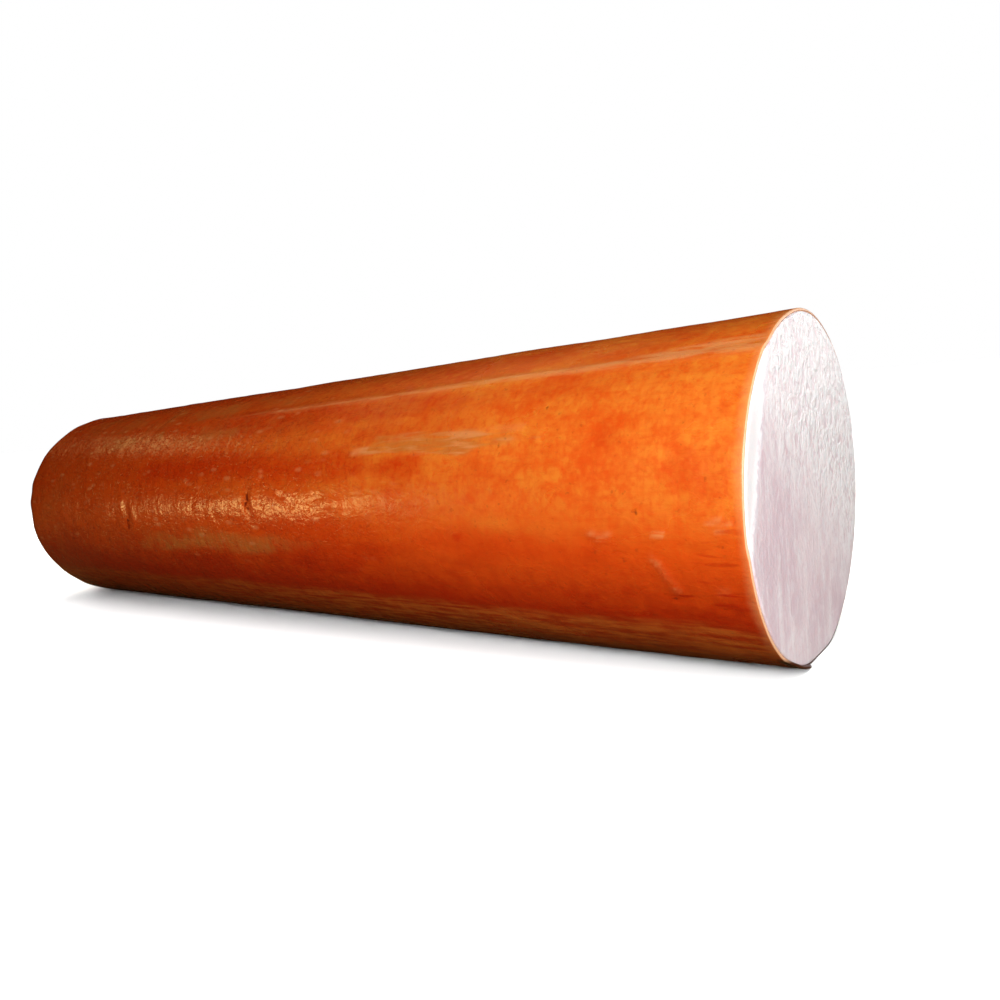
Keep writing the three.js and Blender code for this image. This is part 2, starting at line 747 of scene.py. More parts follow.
    def tinted(self, colour: Socket, tint: Colour) -> Socket:
        """A colour times a tint.

        Args:
            colour: The colour.
            tint: What it is multiplied by.

        Returns:
            The tinted colour.
        """
        node = self.nodes.new("ShaderNodeMix")
        node.data_type = "RGBA"
        node.blend_type = "MULTIPLY"
        node.inputs["Factor"].default_value = 1.0
        self.feed(node.inputs[MIX_FIRST], colour)
        node.inputs[MIX_SECOND].default_value = (*tint, 1.0)
        return node.outputs[MIX_RESULT]

    def bump(self, height: Socket, distance: float, under: Socket | None = None) -> Socket:
        """A normal bent by a relief.

        Args:
            height: The relief, from 0 to 1.
            distance: How tall a height of 1 is, in metres.
            under: A normal that is already bent, if any.

        Returns:
            The bent normal.
        """
        node = self.nodes.new("ShaderNodeBump")
        node.inputs["Distance"].default_value = distance
        self.feed(node.inputs["Height"], height)
        if under is not None:
            self.feed(node.inputs["Normal"], under)
        return node.outputs["Normal"]

    def glow(self, weight: float, radii: Colour, depth: float) -> None:
        """Lets light into the material.

        Args:
            weight: How much of it, from 0 to 1.
            radii: How far red, green and blue light reach, as shares of the depth.
            depth: How far light reaches, in metres.
        """
        self.shader.inputs["Subsurface Weight"].default_value = weight
        self.shader.inputs["Subsurface Radius"].default_value = radii
        self.shader.inputs["Subsurface Scale"].default_value = depth


class SkinPatterns:
    """The patterns that the skin's colours follow."""

    def __init__(self, finish: Finish) -> None:
        """Adds their nodes.

        Args:
            finish: The material that they are for.
        """
        drawn_out = finish.stretched(0.5, 1.0, 1.0)
        self.clouds = finish.cloud(drawn_out, 45.0 * MM, 3.0, 0.6)
        self.patches = finish.cloud(drawn_out, 13.0 * MM, 4.0, 0.5)
        self.freckles = finish.cloud(finish.place, 4.2 * MM, 4.0, 0.3)
        self.speckle = finish.cloud(finish.place, 1.7 * MM, 2.0)
        self.hoops = finish.cloud(finish.stretched(1.0, 0.2, 0.2), 1.6 * MM, 2.0)
        self.fibres = finish.cloud(finish.stretched(0.12, 1.0, 1.0), 1.6 * MM, 3.0, 0.2)
        self.grain = finish.cloud(finish.place, 1.8 * MM, 2.0)


@dataclass(frozen=True)
class CasingFinish:
    """The glossy, mottled, slightly translucent natural casing.

    Attributes:
        orange: The skin over most of the near half.
        red: Patches where the skin is more deeply coloured, and painted shade just below the middle.
        amber: Paler, yellower patches.
        low_shade_and_dashes: Painted shade below the middle, darker and redder; also the short dark
            strokes near the cut.
        underside_sheen: A painted sheen on the underside, duller and browner.
        sheen_streaks: Paler streaks in that painted sheen.
        far: The far end.
        tan: Where the skin has lifted from the meat and looks paler; also the painted reflection bands.
        pale: Painted highlights on the ridge, welts and edges, painted glints, the lifted skin's fibres,
            and the paler skin next to the cut with painted glare on it.
        stain: Dark pores and specks, and painted shade in creases.
        flap_shade: Painted shade on the flap at the bottom of the cut and on the cut edge there.
        cream: The cut edge of the skin.
        darker_back_edge: The same edge, darker towards the back.
        deepened: What the red marks multiply the colour by.
        creased: What the fine creases multiply it by.
        far_reach: Where along X the far end's colour starts, and where it is full.
        red_shade_reach: Height where the painted shade of deeper colour starts, and where it is full.
        low_shade_reach: The same for the darker painted shade below it.
        sheen_reach: The same for the painted sheen on the underside.
        flap_shade_reach: The same for the painted shade on the flap.
        roughness: How rough the skin is where it is wettest.
        near_roughness: How much rougher it gets towards the cut.
        patchy_roughness: How much rougher its driest patches are.
        edge_roughness: How rough the cut edge is.
        translucency: How much light enters it.
    """

    orange: Colour = (0.83, 0.195, 0.018)
    red: Colour = (0.74, 0.075, 0.004)
    amber: Colour = (0.84, 0.260, 0.024)
    low_shade_and_dashes: Colour = (0.47, 0.018, 0.001)
    underside_sheen: Colour = (0.46, 0.034, 0.003)
    sheen_streaks: Colour = (0.64, 0.125, 0.015)
    far: Colour = (0.66, 0.054, 0.003)
    tan: Colour = (0.55, 0.160, 0.026)
    pale: Colour = (0.86, 0.330, 0.110)
    stain: Colour = (0.15, 0.014, 0.004)
    flap_shade: Colour = (0.06, 0.014, 0.006)
    cream: Colour = (0.86, 0.480, 0.270)
    darker_back_edge: Colour = (0.42, 0.170, 0.080)
    deepened: Colour = (0.84, 0.42, 0.30)
    creased: Colour = (0.65, 0.42, 0.30)
    far_reach: tuple[float, float] = (0.16, -0.07)
    red_shade_reach: tuple[float, float] = (0.084, 0.064)
    low_shade_reach: tuple[float, float] = (0.070, 0.043)
    sheen_reach: tuple[float, float] = (0.0280, 0.0240)
    flap_shade_reach: tuple[float, float] = (0.010, 0.007)
    roughness: float = 0.09
    near_roughness: float = 0.12
    patchy_roughness: float = 0.16
    edge_roughness: float = 0.35
    translucency: float = 0.12

    def colour(self, finish: Finish) -> Socket:
        """The skin's colour, with painted shade, sheen, highlights, glints and reflections.

        Args:
            finish: The material that it is for.

        Returns:
            The colour.
        """
        skin = SkinPatterns(finish)
        shade = finish.blend(finish.mark(SkinMark.AMBER.value), self.mottled(finish, skin), self.amber)
        # Darker far end, and painted shade below the middle: darker and redder.
        shade = self.far_end_and_low_shade(finish, skin, shade)
        deeper = finish.tinted(shade, self.deepened)
        shade = finish.blend(finish.mark(SkinMark.RED.value), shade, deeper)
        shade = finish.blend(self.veins(finish), shade, finish.tinted(shade, self.creased))
        # Painted sheen on the underside.
        shade = self.sheened_underside(finish, skin, shade)
        fibrous = finish.blend(finish.step(skin.fibres, 0.46, 0.66, 0.45), self.tan, self.pale)
        shade = finish.blend(self.lifted(finish, skin), shade, fibrous)
        # Painted reflections in bands.
        shade = finish.blend(self.reflections(finish, skin), shade, self.tan)
        # Painted highlights on the ridge, welts and edges, and paler skin with painted glare next to the
        # cut.
        shade = finish.blend(self.highlights_and_pale_rim(finish, skin), shade, self.pale)
        # Painted glints: small pale specks.
        shade = finish.blend(self.glints(finish), shade, self.pale)
        shade = finish.layered(shade, (skin.grain, 0.64, 0.80, 0.30, self.stain))
        shade = finish.blend(self.dashes(finish), shade, self.low_shade_and_dashes)
        # Dark specks, and painted shade in creases.
        specks_and_shade = finish.plus(finish.mark(SkinMark.DARK.value), (skin.grain, 0.8))
        shade = finish.layered(shade, (specks_and_shade, 0.70, 1.10, 0.90, self.stain))
        # Painted shade on the flap at the bottom of the cut, by the floor.
        flap = finish.step(finish.mark(FROM_CUT), 3.0, 1.0)
        flap = finish.maths("MULTIPLY", flap, finish.step(finish.axis("Z"), *self.flap_shade_reach))
        return finish.blend(flap, shade, self.flap_shade)

    def mottled(self, finish: Finish, skin: SkinPatterns) -> Socket:
        """The skin's own clouded and freckled colour.

        Args:
            finish: The material that it is for.
            skin: The patterns that it follows.

        Returns:
            The colour.
        """
        return finish.layered(
            self.orange,
            (skin.clouds, 0.42, 0.66, 0.60, self.red),
            (skin.patches, 0.50, 0.66, 0.55, self.red),
            (skin.patches, 0.47, 0.32, 0.60, self.amber),
            (skin.freckles, 0.48, 0.70, 0.48, self.red),
            (skin.freckles, 0.49, 0.30, 0.40, self.amber),
            (skin.speckle, 0.50, 0.70, 0.42, self.red),
            (skin.speckle, 0.48, 0.32, 0.20, self.amber),
            (skin.hoops, 0.45, 0.70, 0.25, self.red),
            (skin.fibres, 0.50, 0.72, 0.30, self.red),
        )

    def far_end_and_low_shade(self, finish: Finish, skin: SkinPatterns, shade: Socket) -> Socket:
        """The skin with its darker far end, and painted shade below the middle, darker and redder.

        Args:
            finish: The material that it is for.
            skin: The patterns that the painted shade's edge follows.
            shade: The colour that it starts from.

        Returns:
            The colour.
        """
        height = finish.plus(
            finish.axis("Z"),
            (skin.clouds, 0.012),
            (skin.patches, 0.016),
            (skin.freckles, 0.014),
            (finish.axis("X"), 0.025),
        )
        return finish.layered(
            shade,
            (finish.axis("X"), *self.far_reach, 0.90, self.far),
            (height, *self.red_shade_reach, 0.95, self.red),
            (height, *self.low_shade_reach, 1.00, self.low_shade_and_dashes),
        )

    def sheened_underside(self, finish: Finish, skin: SkinPatterns, shade: Socket) -> Socket:
        """The skin with a painted sheen on its underside, dull and streaked.

        Args:
            finish: The material that it is for.
            skin: The patterns that the streaks follow.
            shade: The colour that it starts from.

        Returns:
            The colour.
        """
        near = finish.step(finish.axis("X"), -0.10, 0.12, 0.7)
        streaks = finish.step(finish.plus(skin.fibres, (skin.freckles, 0.3)), 0.48, 0.84)
        streaks = finish.maths("MULTIPLY", streaks, finish.maths("ADD", near, 0.3))
        low = finish.plus(finish.axis("Z"), (skin.patches, 0.005), (skin.clouds, 0.006))
        under = finish.blend(streaks, self.underside_sheen, self.sheen_streaks)
        return finish.blend(finish.step(low, *self.sheen_reach), shade, under)

    def highlights_and_pale_rim(self, finish: Finish, skin: SkinPatterns) -> Socket:
        """Where the skin is painted pale: highlights along the ridge, welts and edges, and within a few
        millimetres of the cut paler skin with painted glare on it.

        Args:
            finish: The material that it is for.
            skin: The patterns that its edges follow.

        Returns:
            A share from 0 to 1.
        """
        streaks = finish.step(skin.fibres, 0.30, 0.55, 0.95)
        # Painted highlights on the ridge, welts and edges.
        ridge = finish.maths("MULTIPLY", finish.mark(SkinMark.HIGHLIGHT.value), streaks)
        # Paler skin next to the cut with painted glare on it, weaker towards the floor.
        from_cut = finish.plus(finish.mark(FROM_CUT), (skin.patches, 4.0))
        above_floor = finish.step(finish.axis("Z"), 0.005, 0.022, 0.6)
        rim = finish.maths("MULTIPLY", finish.step(from_cut, 5.5, 1.5), above_floor)
        return finish.maths("MAXIMUM", ridge, rim)

    def lifted(self, finish: Finish, skin: SkinPatterns) -> Socket:
        """Where the skin has lifted, with a fibrous edge.

        Args:
            finish: The material that it is for.
            skin: The patterns that the edge follows.

        Returns:
            A share from 0 to 1.
        """
        marked = finish.mark(SkinMark.TAN.value)
        ragged = finish.plus(marked, (skin.fibres, 2.0), (skin.patches, 0.8))
        inside = finish.step(marked, 0.05, 0.60)
        return finish.maths("MULTIPLY", finish.step(ragged, 1.55, 2.60, 0.92), inside)

    def reflections(self, finish: Finish, skin: SkinPatterns) -> Socket:
        """Where painted reflections lie, in bands broken into uneven hoops, as a share from 0 to 1."""
        hoops = finish.step(finish.plus(skin.patches, (skin.hoops, 0.35)), 0.52, 0.90)
        return finish.maths("MULTIPLY", finish.mark(SkinMark.REFLECTION.value), hoops)

    def veins(self, finish: Finish) -> Socket:
        """Fine darker creases in the skin, plainer towards the blind end.

        Args:
            finish: The material that it is for.

        Returns:
            A share from 0 to 1.
        """
        folds = self.folds(finish, 0.45, 4.0 * MM, 0.030, 1.0)
        far_half = finish.step(finish.axis("X"), 0.13, 0.0, 0.40)
        return finish.maths("MULTIPLY", folds, finish.maths("ADD", far_half, 0.12))

    def folds(self, finish: Finish, along: float, size: float, width: float, top: float) -> Socket:
        """Thin wandering lines, where a noise crosses its middle.

        Args:
            finish: The material that they are for.
            along: How little they are drawn out along X. At 1, they aren't.
            size: How far apart they are, in metres.
            width: How wide they are, as a share of the noise.
            top: The value in their middle. Beside them, it is 0.

        Returns:
            A value from 0 to top.
        """
        folds = finish.cloud(finish.stretched(along, 1.0, 1.0), size, 3.0, 1.0)
        folds = finish.maths("ABSOLUTE", finish.maths("SUBTRACT", folds, 0.5))
        return finish.step(folds, width, 0.0, top)

    def glints(self, finish: Finish) -> Socket:
        """Painted glints: small pale specks, more of them towards the blind end.

        Args:
            finish: The material that it is for.

        Returns:
            A share from 0 to 1.
        """
        dots = finish.step(finish.cells(finish.stretched(0.4, 1.0, 1.0), 4.0 * MM), 0.34, 0.08)
        chosen = finish.step(finish.cloud(finish.place, 14.0 * MM, 2.0), 0.46, 0.60)
        chosen = finish.maths("MULTIPLY", chosen, finish.step(finish.axis("Z"), 0.028, 0.040))
        far_half = finish.step(finish.axis("X"), 0.13, 0.02, 0.32)
        return finish.maths("MULTIPLY", finish.maths("MULTIPLY", dots, chosen), far_half)

    def dashes(self, finish: Finish) -> Socket:
        """Short dark strokes along the skin near the cut.

        Args:
            finish: The material that it is for.

        Returns:
            A share from 0 to 1.
        """
        strokes = finish.cloud(finish.stretched(0.16, 1.0, 1.0), 2.0 * MM, 2.0)
        strokes = finish.step(strokes, 0.56, 0.66, 0.9)
        return finish.maths("MULTIPLY", finish.mark(SkinMark.DASHED.value), strokes)

    def relief(self, finish: Finish) -> Socket:
        """Crinkle, fibres and pores too fine for the mesh.

        Args:
            finish: The material that they are for.

        Returns:
            The normal that they bend.
        """
        soft = finish.cloud(finish.stretched(0.7, 1.0, 1.0), 6.0 * MM, 4.0, 1.5)
        ripples = finish.cloud(finish.stretched(1.0, 0.35, 0.35), 3.0 * MM, 2.0, 0.4)
        folds = self.folds(finish, 0.7, 3.6 * MM, 0.035, -0.5)
        pimples = finish.step(finish.cells(finish.place, 2.4 * MM), 0.34, 0.05, 0.7)
        chosen = finish.step(finish.cloud(finish.place, 5.0 * MM, 1.0), 0.52, 0.60)
        pimples = finish.maths("MULTIPLY", pimples, chosen)
        far_half = finish.step(finish.axis("X"), 0.11, 0.02, 1.0)
        height = finish.plus(finish.maths("ADD", folds, 0.5), (ripples, 1.3), (pimples, 0.8))
        height = finish.maths("MULTIPLY", height, finish.plus(0.2, (far_half, 0.8)))
        coarse = finish.bump(finish.plus(height, (soft, 1.5)), 0.13 * MM)
        fine = finish.cloud(finish.stretched(0.6, 1.0, 1.0), 1.5 * MM, 3.0)
        fine = finish.maths("MULTIPLY", fine, finish.plus(0.5, (far_half, 0.5)))
        return finish.bump(fine, 0.11 * MM, coarse)

    def material(self) -> bpy.types.Material:
        """The skin's material.

        Returns:
            The material, with all its nodes.
        """
        finish = Finish("natural_casing")
        shader = finish.shader
        finish.feed(shader.inputs["Base Color"], self.colour(finish))
        finish.feed(shader.inputs["Normal"], self.relief(finish))
        dry = finish.cloud(finish.stretched(0.6, 1.0, 1.0), 20.0 * MM, 3.0)
        near = finish.step(finish.axis("X"), 0.03, 0.14, self.near_roughness)
        wettest = finish.maths("ADD", near, self.roughness)
        finish.feed(shader.inputs["Roughness"], finish.plus(wettest, (dry, self.patchy_roughness)))
        shine = finish.step(finish.mark(SkinMark.DARK.value), 0.6, 0.1, 0.5)
        finish.feed(shader.inputs["Specular IOR Level"], shine)
        finish.glow(self.translucency, (1.0, 0.25, 0.08), 2.0 * MM)
        return finish.material

    def edge_material(self) -> bpy.types.Material:
        """The paler material of the skin's cut edge, darker towards the back, with painted shade at the
        bottom.

        Returns:
            The material, with all its nodes.
        """
        finish = Finish("casing_edge")
        grain = finish.cloud(finish.place, 3.0 * MM, 3.0)
        # Darker towards the back, and painted shade at the bottom by the floor.
        shade = finish.layered(
            self.cream,
            (grain, 0.50, 0.75, 0.60, self.pale),
            (finish.axis("Y"), -0.005, 0.020, 0.90, self.darker_back_edge),
            (finish.axis("Z"), 0.0095, 0.0065, 1.00, self.flap_shade),
        )
        finish.feed(finish.shader.inputs["Base Color"], shade)
        finish.shader.inputs["Roughness"].default_value = self.edge_roughness
        return finish.material


@dataclass(frozen=True)
class MeatFinish:
    """Fine pale pink meat, smeared and pitted by the knife.

    Attributes:
        pink: The meat.
        rosy: Where it is pinker.
        pale: Fat smeared over it by the knife; also painted glare on the upper back of the face, and the
            paler first slice, partly painted light.
        pit: The ledge beside the first slice.
        roughness: How rough it is where it is wettest.
        patchy_roughness: How much rougher its driest patches are.
        tallness: How tall its torn fibres are.
        translucency: How much light enters it.
    """

    pink: Colour = (0.78, 0.66, 0.69)
    rosy: Colour = (0.68, 0.53, 0.58)
    pale: Colour = (0.90, 0.87, 0.88)
    pit: Colour = (0.52, 0.44, 0.52)
    roughness: float = 0.20
    patchy_roughness: float = 0.30
    tallness: float = 0.21 * MM
    translucency: float = 0.15

    def material(self, form: SausageForm) -> bpy.types.Material:
        """The meat's material.

        Args:
            form: The sausage's shape, for where the knife's first slice was.

        Returns:
            The material, with all its nodes.
        """
        finish = Finish("sausage_meat")
        shader = finish.shader
        clouds = finish.cloud(finish.stretched(1.0, 1.0, 0.5), 22.0 * MM, 3.0, 0.6)
        streaks = finish.cloud(finish.stretched(1.0, 1.0, 0.12), 2.6 * MM, 3.0, 0.4)
        smears = finish.cloud(finish.stretched(1.0, 1.0, 0.70), 2.6 * MM, 5.0, 0.6)
        grain = finish.cloud(finish.stretched(1.0, 1.0, 0.70), 1.3 * MM, 3.0)
        high = finish.plus(finish.axis("Z"), (finish.axis("Y"), 0.7), (clouds, 0.040))
        sliced = self.sliced(finish, form, smears)
        shade = finish.layered(
            self.pink,
            (clouds, 0.38, 0.60, 1.00, self.rosy),
            (streaks, 0.45, 0.75, 0.50, self.pale),
            (smears, 0.50, 0.68, 0.30, self.pale),
        )
        # Painted glare and smeared fat, whiter towards the top and back of the face.
        fat_and_glare = finish.maths("MULTIPLY", finish.step(high, 0.044, 0.094), finish.step(smears, 0.34, 0.50))
        shade = finish.blend(finish.maths("MULTIPLY", fat_and_glare, 0.95), shade, self.pale)
        shade = finish.layered(shade, (grain, 0.50, 0.70, 0.55, self.rosy))
        # Paler on the first slice: smooth meat, partly painted light on the tilted slice.
        shade = finish.blend(finish.maths("MULTIPLY", sliced, 0.9), shade, self.pale)
        ledge = finish.maths("PINGPONG", finish.maths("MULTIPLY", sliced, 2.0), 1.0)
        shade = finish.blend(finish.maths("MULTIPLY", ledge, 0.4), shade, self.pit)
        finish.feed(shader.inputs["Base Color"], shade)
        dry = finish.cloud(finish.place, 8.0 * MM, 3.0)
        finish.feed(shader.inputs["Roughness"], finish.plus(self.roughness, (dry, self.patchy_roughness)))
        torn = finish.plus(0.15, (finish.step(high, 0.062, 0.100), 0.90))
        rough = finish.maths("MULTIPLY", finish.step(smears, 0.38, 0.62), torn)
        rough = finish.plus(rough, (streaks, 0.25), (grain, 0.75))
        rough = finish.maths("MULTIPLY", rough, finish.plus(1.0, (sliced, -0.75)))
        finish.feed(shader.inputs["Normal"], finish.bump(rough, self.tallness))
        finish.glow(self.translucency, (1.0, 0.5, 0.45), 3.0 * MM)
        return finish.material

    def sliced(self, finish: Finish, form: SausageForm, smears: Socket) -> Socket:
        """Where the knife's first slice left the face smooth, and where it is painted paler, partly as
        painted light on the tilted slice.

        Args:
            finish: The material that it is for.
            form: The sausage's shape, which has the slice.
            smears: The pattern that the slice's edge follows.

        Returns:
            A share from 0 to 1.
        """
        turn = math.radians(form.slice_angle)
        height = finish.maths("SUBTRACT", finish.axis("Z"), form.cut_radius - form.sag)
        past = finish.maths("MULTIPLY", finish.axis("Y"), -math.cos(turn))
        past = finish.plus(past, (height, math.sin(turn)), (smears, 0.007))
        return finish.step(past, form.slice_start + 2.0 * MM, form.slice_start + 5.4 * MM)


# ---------------------------------------------------------------------------
# The pieces
# ---------------------------------------------------------------------------


@dataclass
class Casing:
    """The skin: a thin closed shell, open at the cut, with its creases and marks.

    Attributes:
        form: The shape that skin and meat share.
        wall: How thick it is.
        steps: How many steps it has round the axis.
        rows: How many steps the outside of its barrel has.
        dome_rows: How many steps the outside of its blind end has.
        inner_rows: How many steps the inside of its barrel has.
        edge_steps: How many steps the rounded cut edge has.
        edge_round: How far the edge is rounded, as a share of half the wall.
        lip_length: How far the small flap at the bottom reaches past the cut.
        lip_base: How far behind the cut it begins to bend out.
        lip_start: Angle of its upper end, in degrees.
        lip_end: Angle of its lower end, in degrees.
        finish: Its colours.
    """

    form: SausageForm
    wall: float = 0.9 * MM
    steps: int = 240
    rows: int = 285
    dome_rows: int = 30
    inner_rows: int = 24
    edge_steps: int = 4
    edge_round: float = 0.7
    lip_length: float = 1.6 * MM
    lip_base: float = 4.0 * MM
    lip_start: float = -54.0
    lip_end: float = -80.0
    finish: CasingFinish = field(default_factory=CasingFinish)

    def outline(self) -> Turning:
        """The half outline, from the inner tip over the cut edge to the outer tip.

        Returns:
            The outline, not yet turned.
        """
        turning = Turning(self.form, self.steps)
        inner = self.form.outline(self.inner_rows, self.dome_rows // 3, self.wall)
        for x, radius in reversed(inner[1:]):
            turning.add(x, max(radius, 0.0), self.wall)
        half = self.wall / 2
        for step in range(self.edge_steps + 1):
            turn = step / self.edge_steps * math.pi - math.pi / 2
            depth = half - half * math.sin(turn)
            x = self.form.high.x - half * self.edge_round * (1 - math.cos(turn))
            turning.add(x, self.form.cut_radius - depth, depth)
        for x, radius in self.form.outline(self.rows, self.dome_rows, 0.0)[1:]:
            turning.add(x, max(radius, 0.0), 0.0)
        return turning

    def lip(self, x: float, angle: float) -> float:
        """How far the flap at the bottom of the cut carries the skin past it.

        Args:
            x: A place's distance along X.
            angle: Its angle round the axis, in radians.

        Returns:
            A length from 0 to lip_length.
        """
        degrees = math.degrees(angle)
        upper = eased(degrees, self.lip_start, self.lip_start - 10.0)
        lower = eased(degrees, self.lip_end, self.lip_end + 4.0)
        bent = eased(x, self.form.high.x - self.lip_base, self.form.high.x)
        return self.lip_length * (upper * lower) * bent

    def marks(self, x: float, angle: float, radius: float) -> tuple[float, dict[SkinMark, float]]:
        """What the creases and blotches do at a place.

        Args:
            x: Its distance along X.
            angle: Its angle round the axis, in radians.
            radius: Its distance from the axis.

        Returns:
            How far the skin stands out there, and how strong each mark's colour is, painted light
            included.
        """
        height = 0.0
        tones = dict.fromkeys(SkinMark, 0.0)
        # The painted highlight along the ridge, and its painted sheen band near the cut.
        tones[SkinMark.HIGHLIGHT] = self.form.ridge_highlight(x, angle)
        spot = Vector((x / MM, angle * radius / MM))
        arc = math.radians(1.0) * radius / MM
        for crease in CREASES:
            away = crease.away(spot, arc)
            if away < CREASE_REACH:
                strength = math.exp(-away * away)
                height += crease.height * MM * strength
                tones[crease.stain] = max(tones[crease.stain], crease.amount * strength)
        ragged = 0.5 * wave(spot.x * 0.07, spot.y * 0.12, 0.0)
        ragged += 0.3 * wave(spot.x * 0.12, spot.y * 0.45, 4.0)
        for blotch in BLOTCHES:
            away = blotch.away(spot, arc) + ragged
            if away < BLOTCH_OUTER:
                strength = eased(away, BLOTCH_OUTER, BLOTCH_INNER)
                height += blotch.height * MM * strength
                tones[blotch.stain] = max(tones[blotch.stain], blotch.amount * strength)
        return height, tones

    def build(self) -> bpy.types.Object:
        """Makes the skin, with its materials.

        Returns:
            The skin as one object.
        """
        turning = self.outline()
        turning.spin()
        mesh, form = turning.mesh, self.form
        layers = {stain: mesh.verts.layers.float.new(stain.value) for stain in SkinMark}
        from_cut = mesh.verts.layers.float.new(FROM_CUT)
        for vert in mesh.verts:
            spot = vert.co.copy()
            x, angle, radius = form.polar(spot)
            vert[from_cut] = (form.high.x - x) / MM
            outer = 1 - vert[turning.depth] / self.wall
            height = form.broad_relief(spot, x, angle) + outer * form.fine_relief(spot, x)
            if outer > 0:
                raised, tones = self.marks(x, angle, radius)
                height += raised * outer
                for stain, amount in tones.items():
                    vert[layers[stain]] = amount
            place = spot + form.outward(x, angle, radius) * height
            place.x -= form.near_cut(x) * form.cut_drop(spot.y, spot.z)
            place.x += self.lip(x, angle)
            vert.co = form.laid(place, x, vert[turning.depth])
        self.name_edge(mesh, turning.depth)
        casing = turning.finish("casing_skin")
        for material in (self.finish.material(), self.finish.edge_material()):
            casing.data.materials.append(material)
        return casing

    def name_edge(self, mesh: bmesh.types.BMesh, depth: bmesh.types.BMLayerItem) -> None:
        """Gives the faces of the cut edge the second material.

        Args:
            mesh: The skin.
            depth: The layer that has each vertex's depth below the outer surface.
        """
        for face in mesh.faces:
            depths = [vert[depth] for vert in face.verts]
            if max(depths) > 0 and min(depths) < self.wall and max(depths) - min(depths) > 0:
                face.material_index = 1


@dataclass
class Meat:
    """The meat: one mass, as wide as the skin's inside, with its knife-cut face.

    Attributes:
        form: The shape that skin and meat share.
        depth: How far its sides lie below the skin's outer surface.
        steps: How many steps it has round the axis.
        rows: How many steps its barrel has.
        dome_rows: How many steps its blind end has.
        face_rows: How many steps its face has from the middle to the rim.
        rim: Radius of the rounding where the face meets the skin.
        proud: How far the face stands past the skin's edge.
        relief_start: Share of the radius where the skin's relief begins on the face.
        finish: Its colours.
    """

    form: SausageForm
    depth: float = 0.95 * MM
    steps: int = 240
    rows: int = 60
    dome_rows: int = 12
    face_rows: int = 60
    rim: float = 0.5 * MM
    proud: float = 0.3 * MM
    relief_start: float = 0.8
    finish: MeatFinish = field(default_factory=MeatFinish)

    def outline(self) -> Turning:
        """The half outline, from the middle of the face over the rim to the blind tip.

        Returns:
            The outline, not yet turned.
        """
        turning = Turning(self.form, self.steps)
        edge = self.form.cut_radius - self.depth
        flat = edge - self.rim
        for row in range(self.face_rows + 1):
            turning.add(self.form.high.x, flat * row / self.face_rows, self.depth)
        for turn in (math.radians(30), math.radians(60)):
            x = self.form.high.x - self.rim * (1 - math.cos(turn))
            turning.add(x, flat + self.rim * math.sin(turn), self.depth)
        turning.add(self.form.high.x - self.rim, edge, self.depth)
        for x, radius in self.form.outline(self.rows, self.dome_rows, self.depth)[1:]:
            turning.add(x, max(radius, 0.0), self.depth)
        return turning

    def build(self) -> bpy.types.Object:
        """Makes the meat, with its material.

        Returns:
            The meat as one object.
        """
        turning = self.outline()
        turning.spin()
        form = self.form
        for vert in turning.mesh.verts:
            spot = vert.co.copy()
            x, angle, radius = form.polar(spot)
            edge = form.barrel_radius(x) - self.depth
            outer = eased(radius / edge, self.relief_start, 1.0) if x > form.dome_base else 1.0
            height = form.broad_relief(spot, x, angle) * outer
            place = spot + form.outward(x, angle, radius) * height
            place.x += form.near_cut(x) * (self.proud - form.cut_drop(spot.y, spot.z))
            vert.co = form.laid(place, x, self.depth)
        meat = turning.finish("meat")
        meat.data.materials.append(self.finish.material(form))
        return meat


# ---------------------------------------------------------------------------
# The studio
# ---------------------------------------------------------------------------


@dataclass(frozen=True)
class Lamp:
    """A soft oval light.

    Attributes:
        name: Its name.
        place: Where its middle is.
        aim: What it points at.
        width: Its width across.
        height: Its height.
        power: In watts.
        colour: Its colour.
        mirrored: Whether it shows in glossy surfaces.
        lights: Whether it lights matt surfaces.
    """

    name: str
    place: tuple[float, float, float]
    aim: tuple[float, float, float]
    width: float
    height: float
    power: float
    colour: Colour = (1.0, 1.0, 1.0)
    mirrored: bool = True
    lights: bool = True

    def build(self) -> bpy.types.Object:
        """Makes the light.

        Returns:
            The light as an object, linked to the scene.
        """
        data = bpy.data.lights.new(self.name, "AREA")
        data.shape = "ELLIPSE"
        data.size, data.size_y = self.width, self.height
        data.energy = self.power
        data.color = self.colour
        lamp = bpy.data.objects.new(self.name, data)
        lamp.location = self.place
        beam = Vector(self.aim) - Vector(self.place)
        lamp.rotation_euler = beam.to_track_quat("-Z", "Y").to_euler()
        lamp.visible_glossy = self.mirrored
        lamp.visible_diffuse = self.lights
        bpy.context.collection.objects.link(lamp)
        return lamp


WARM: Colour = (1.0, 0.74, 0.25)
STRAW: Colour = (1.0, 0.86, 0.50)

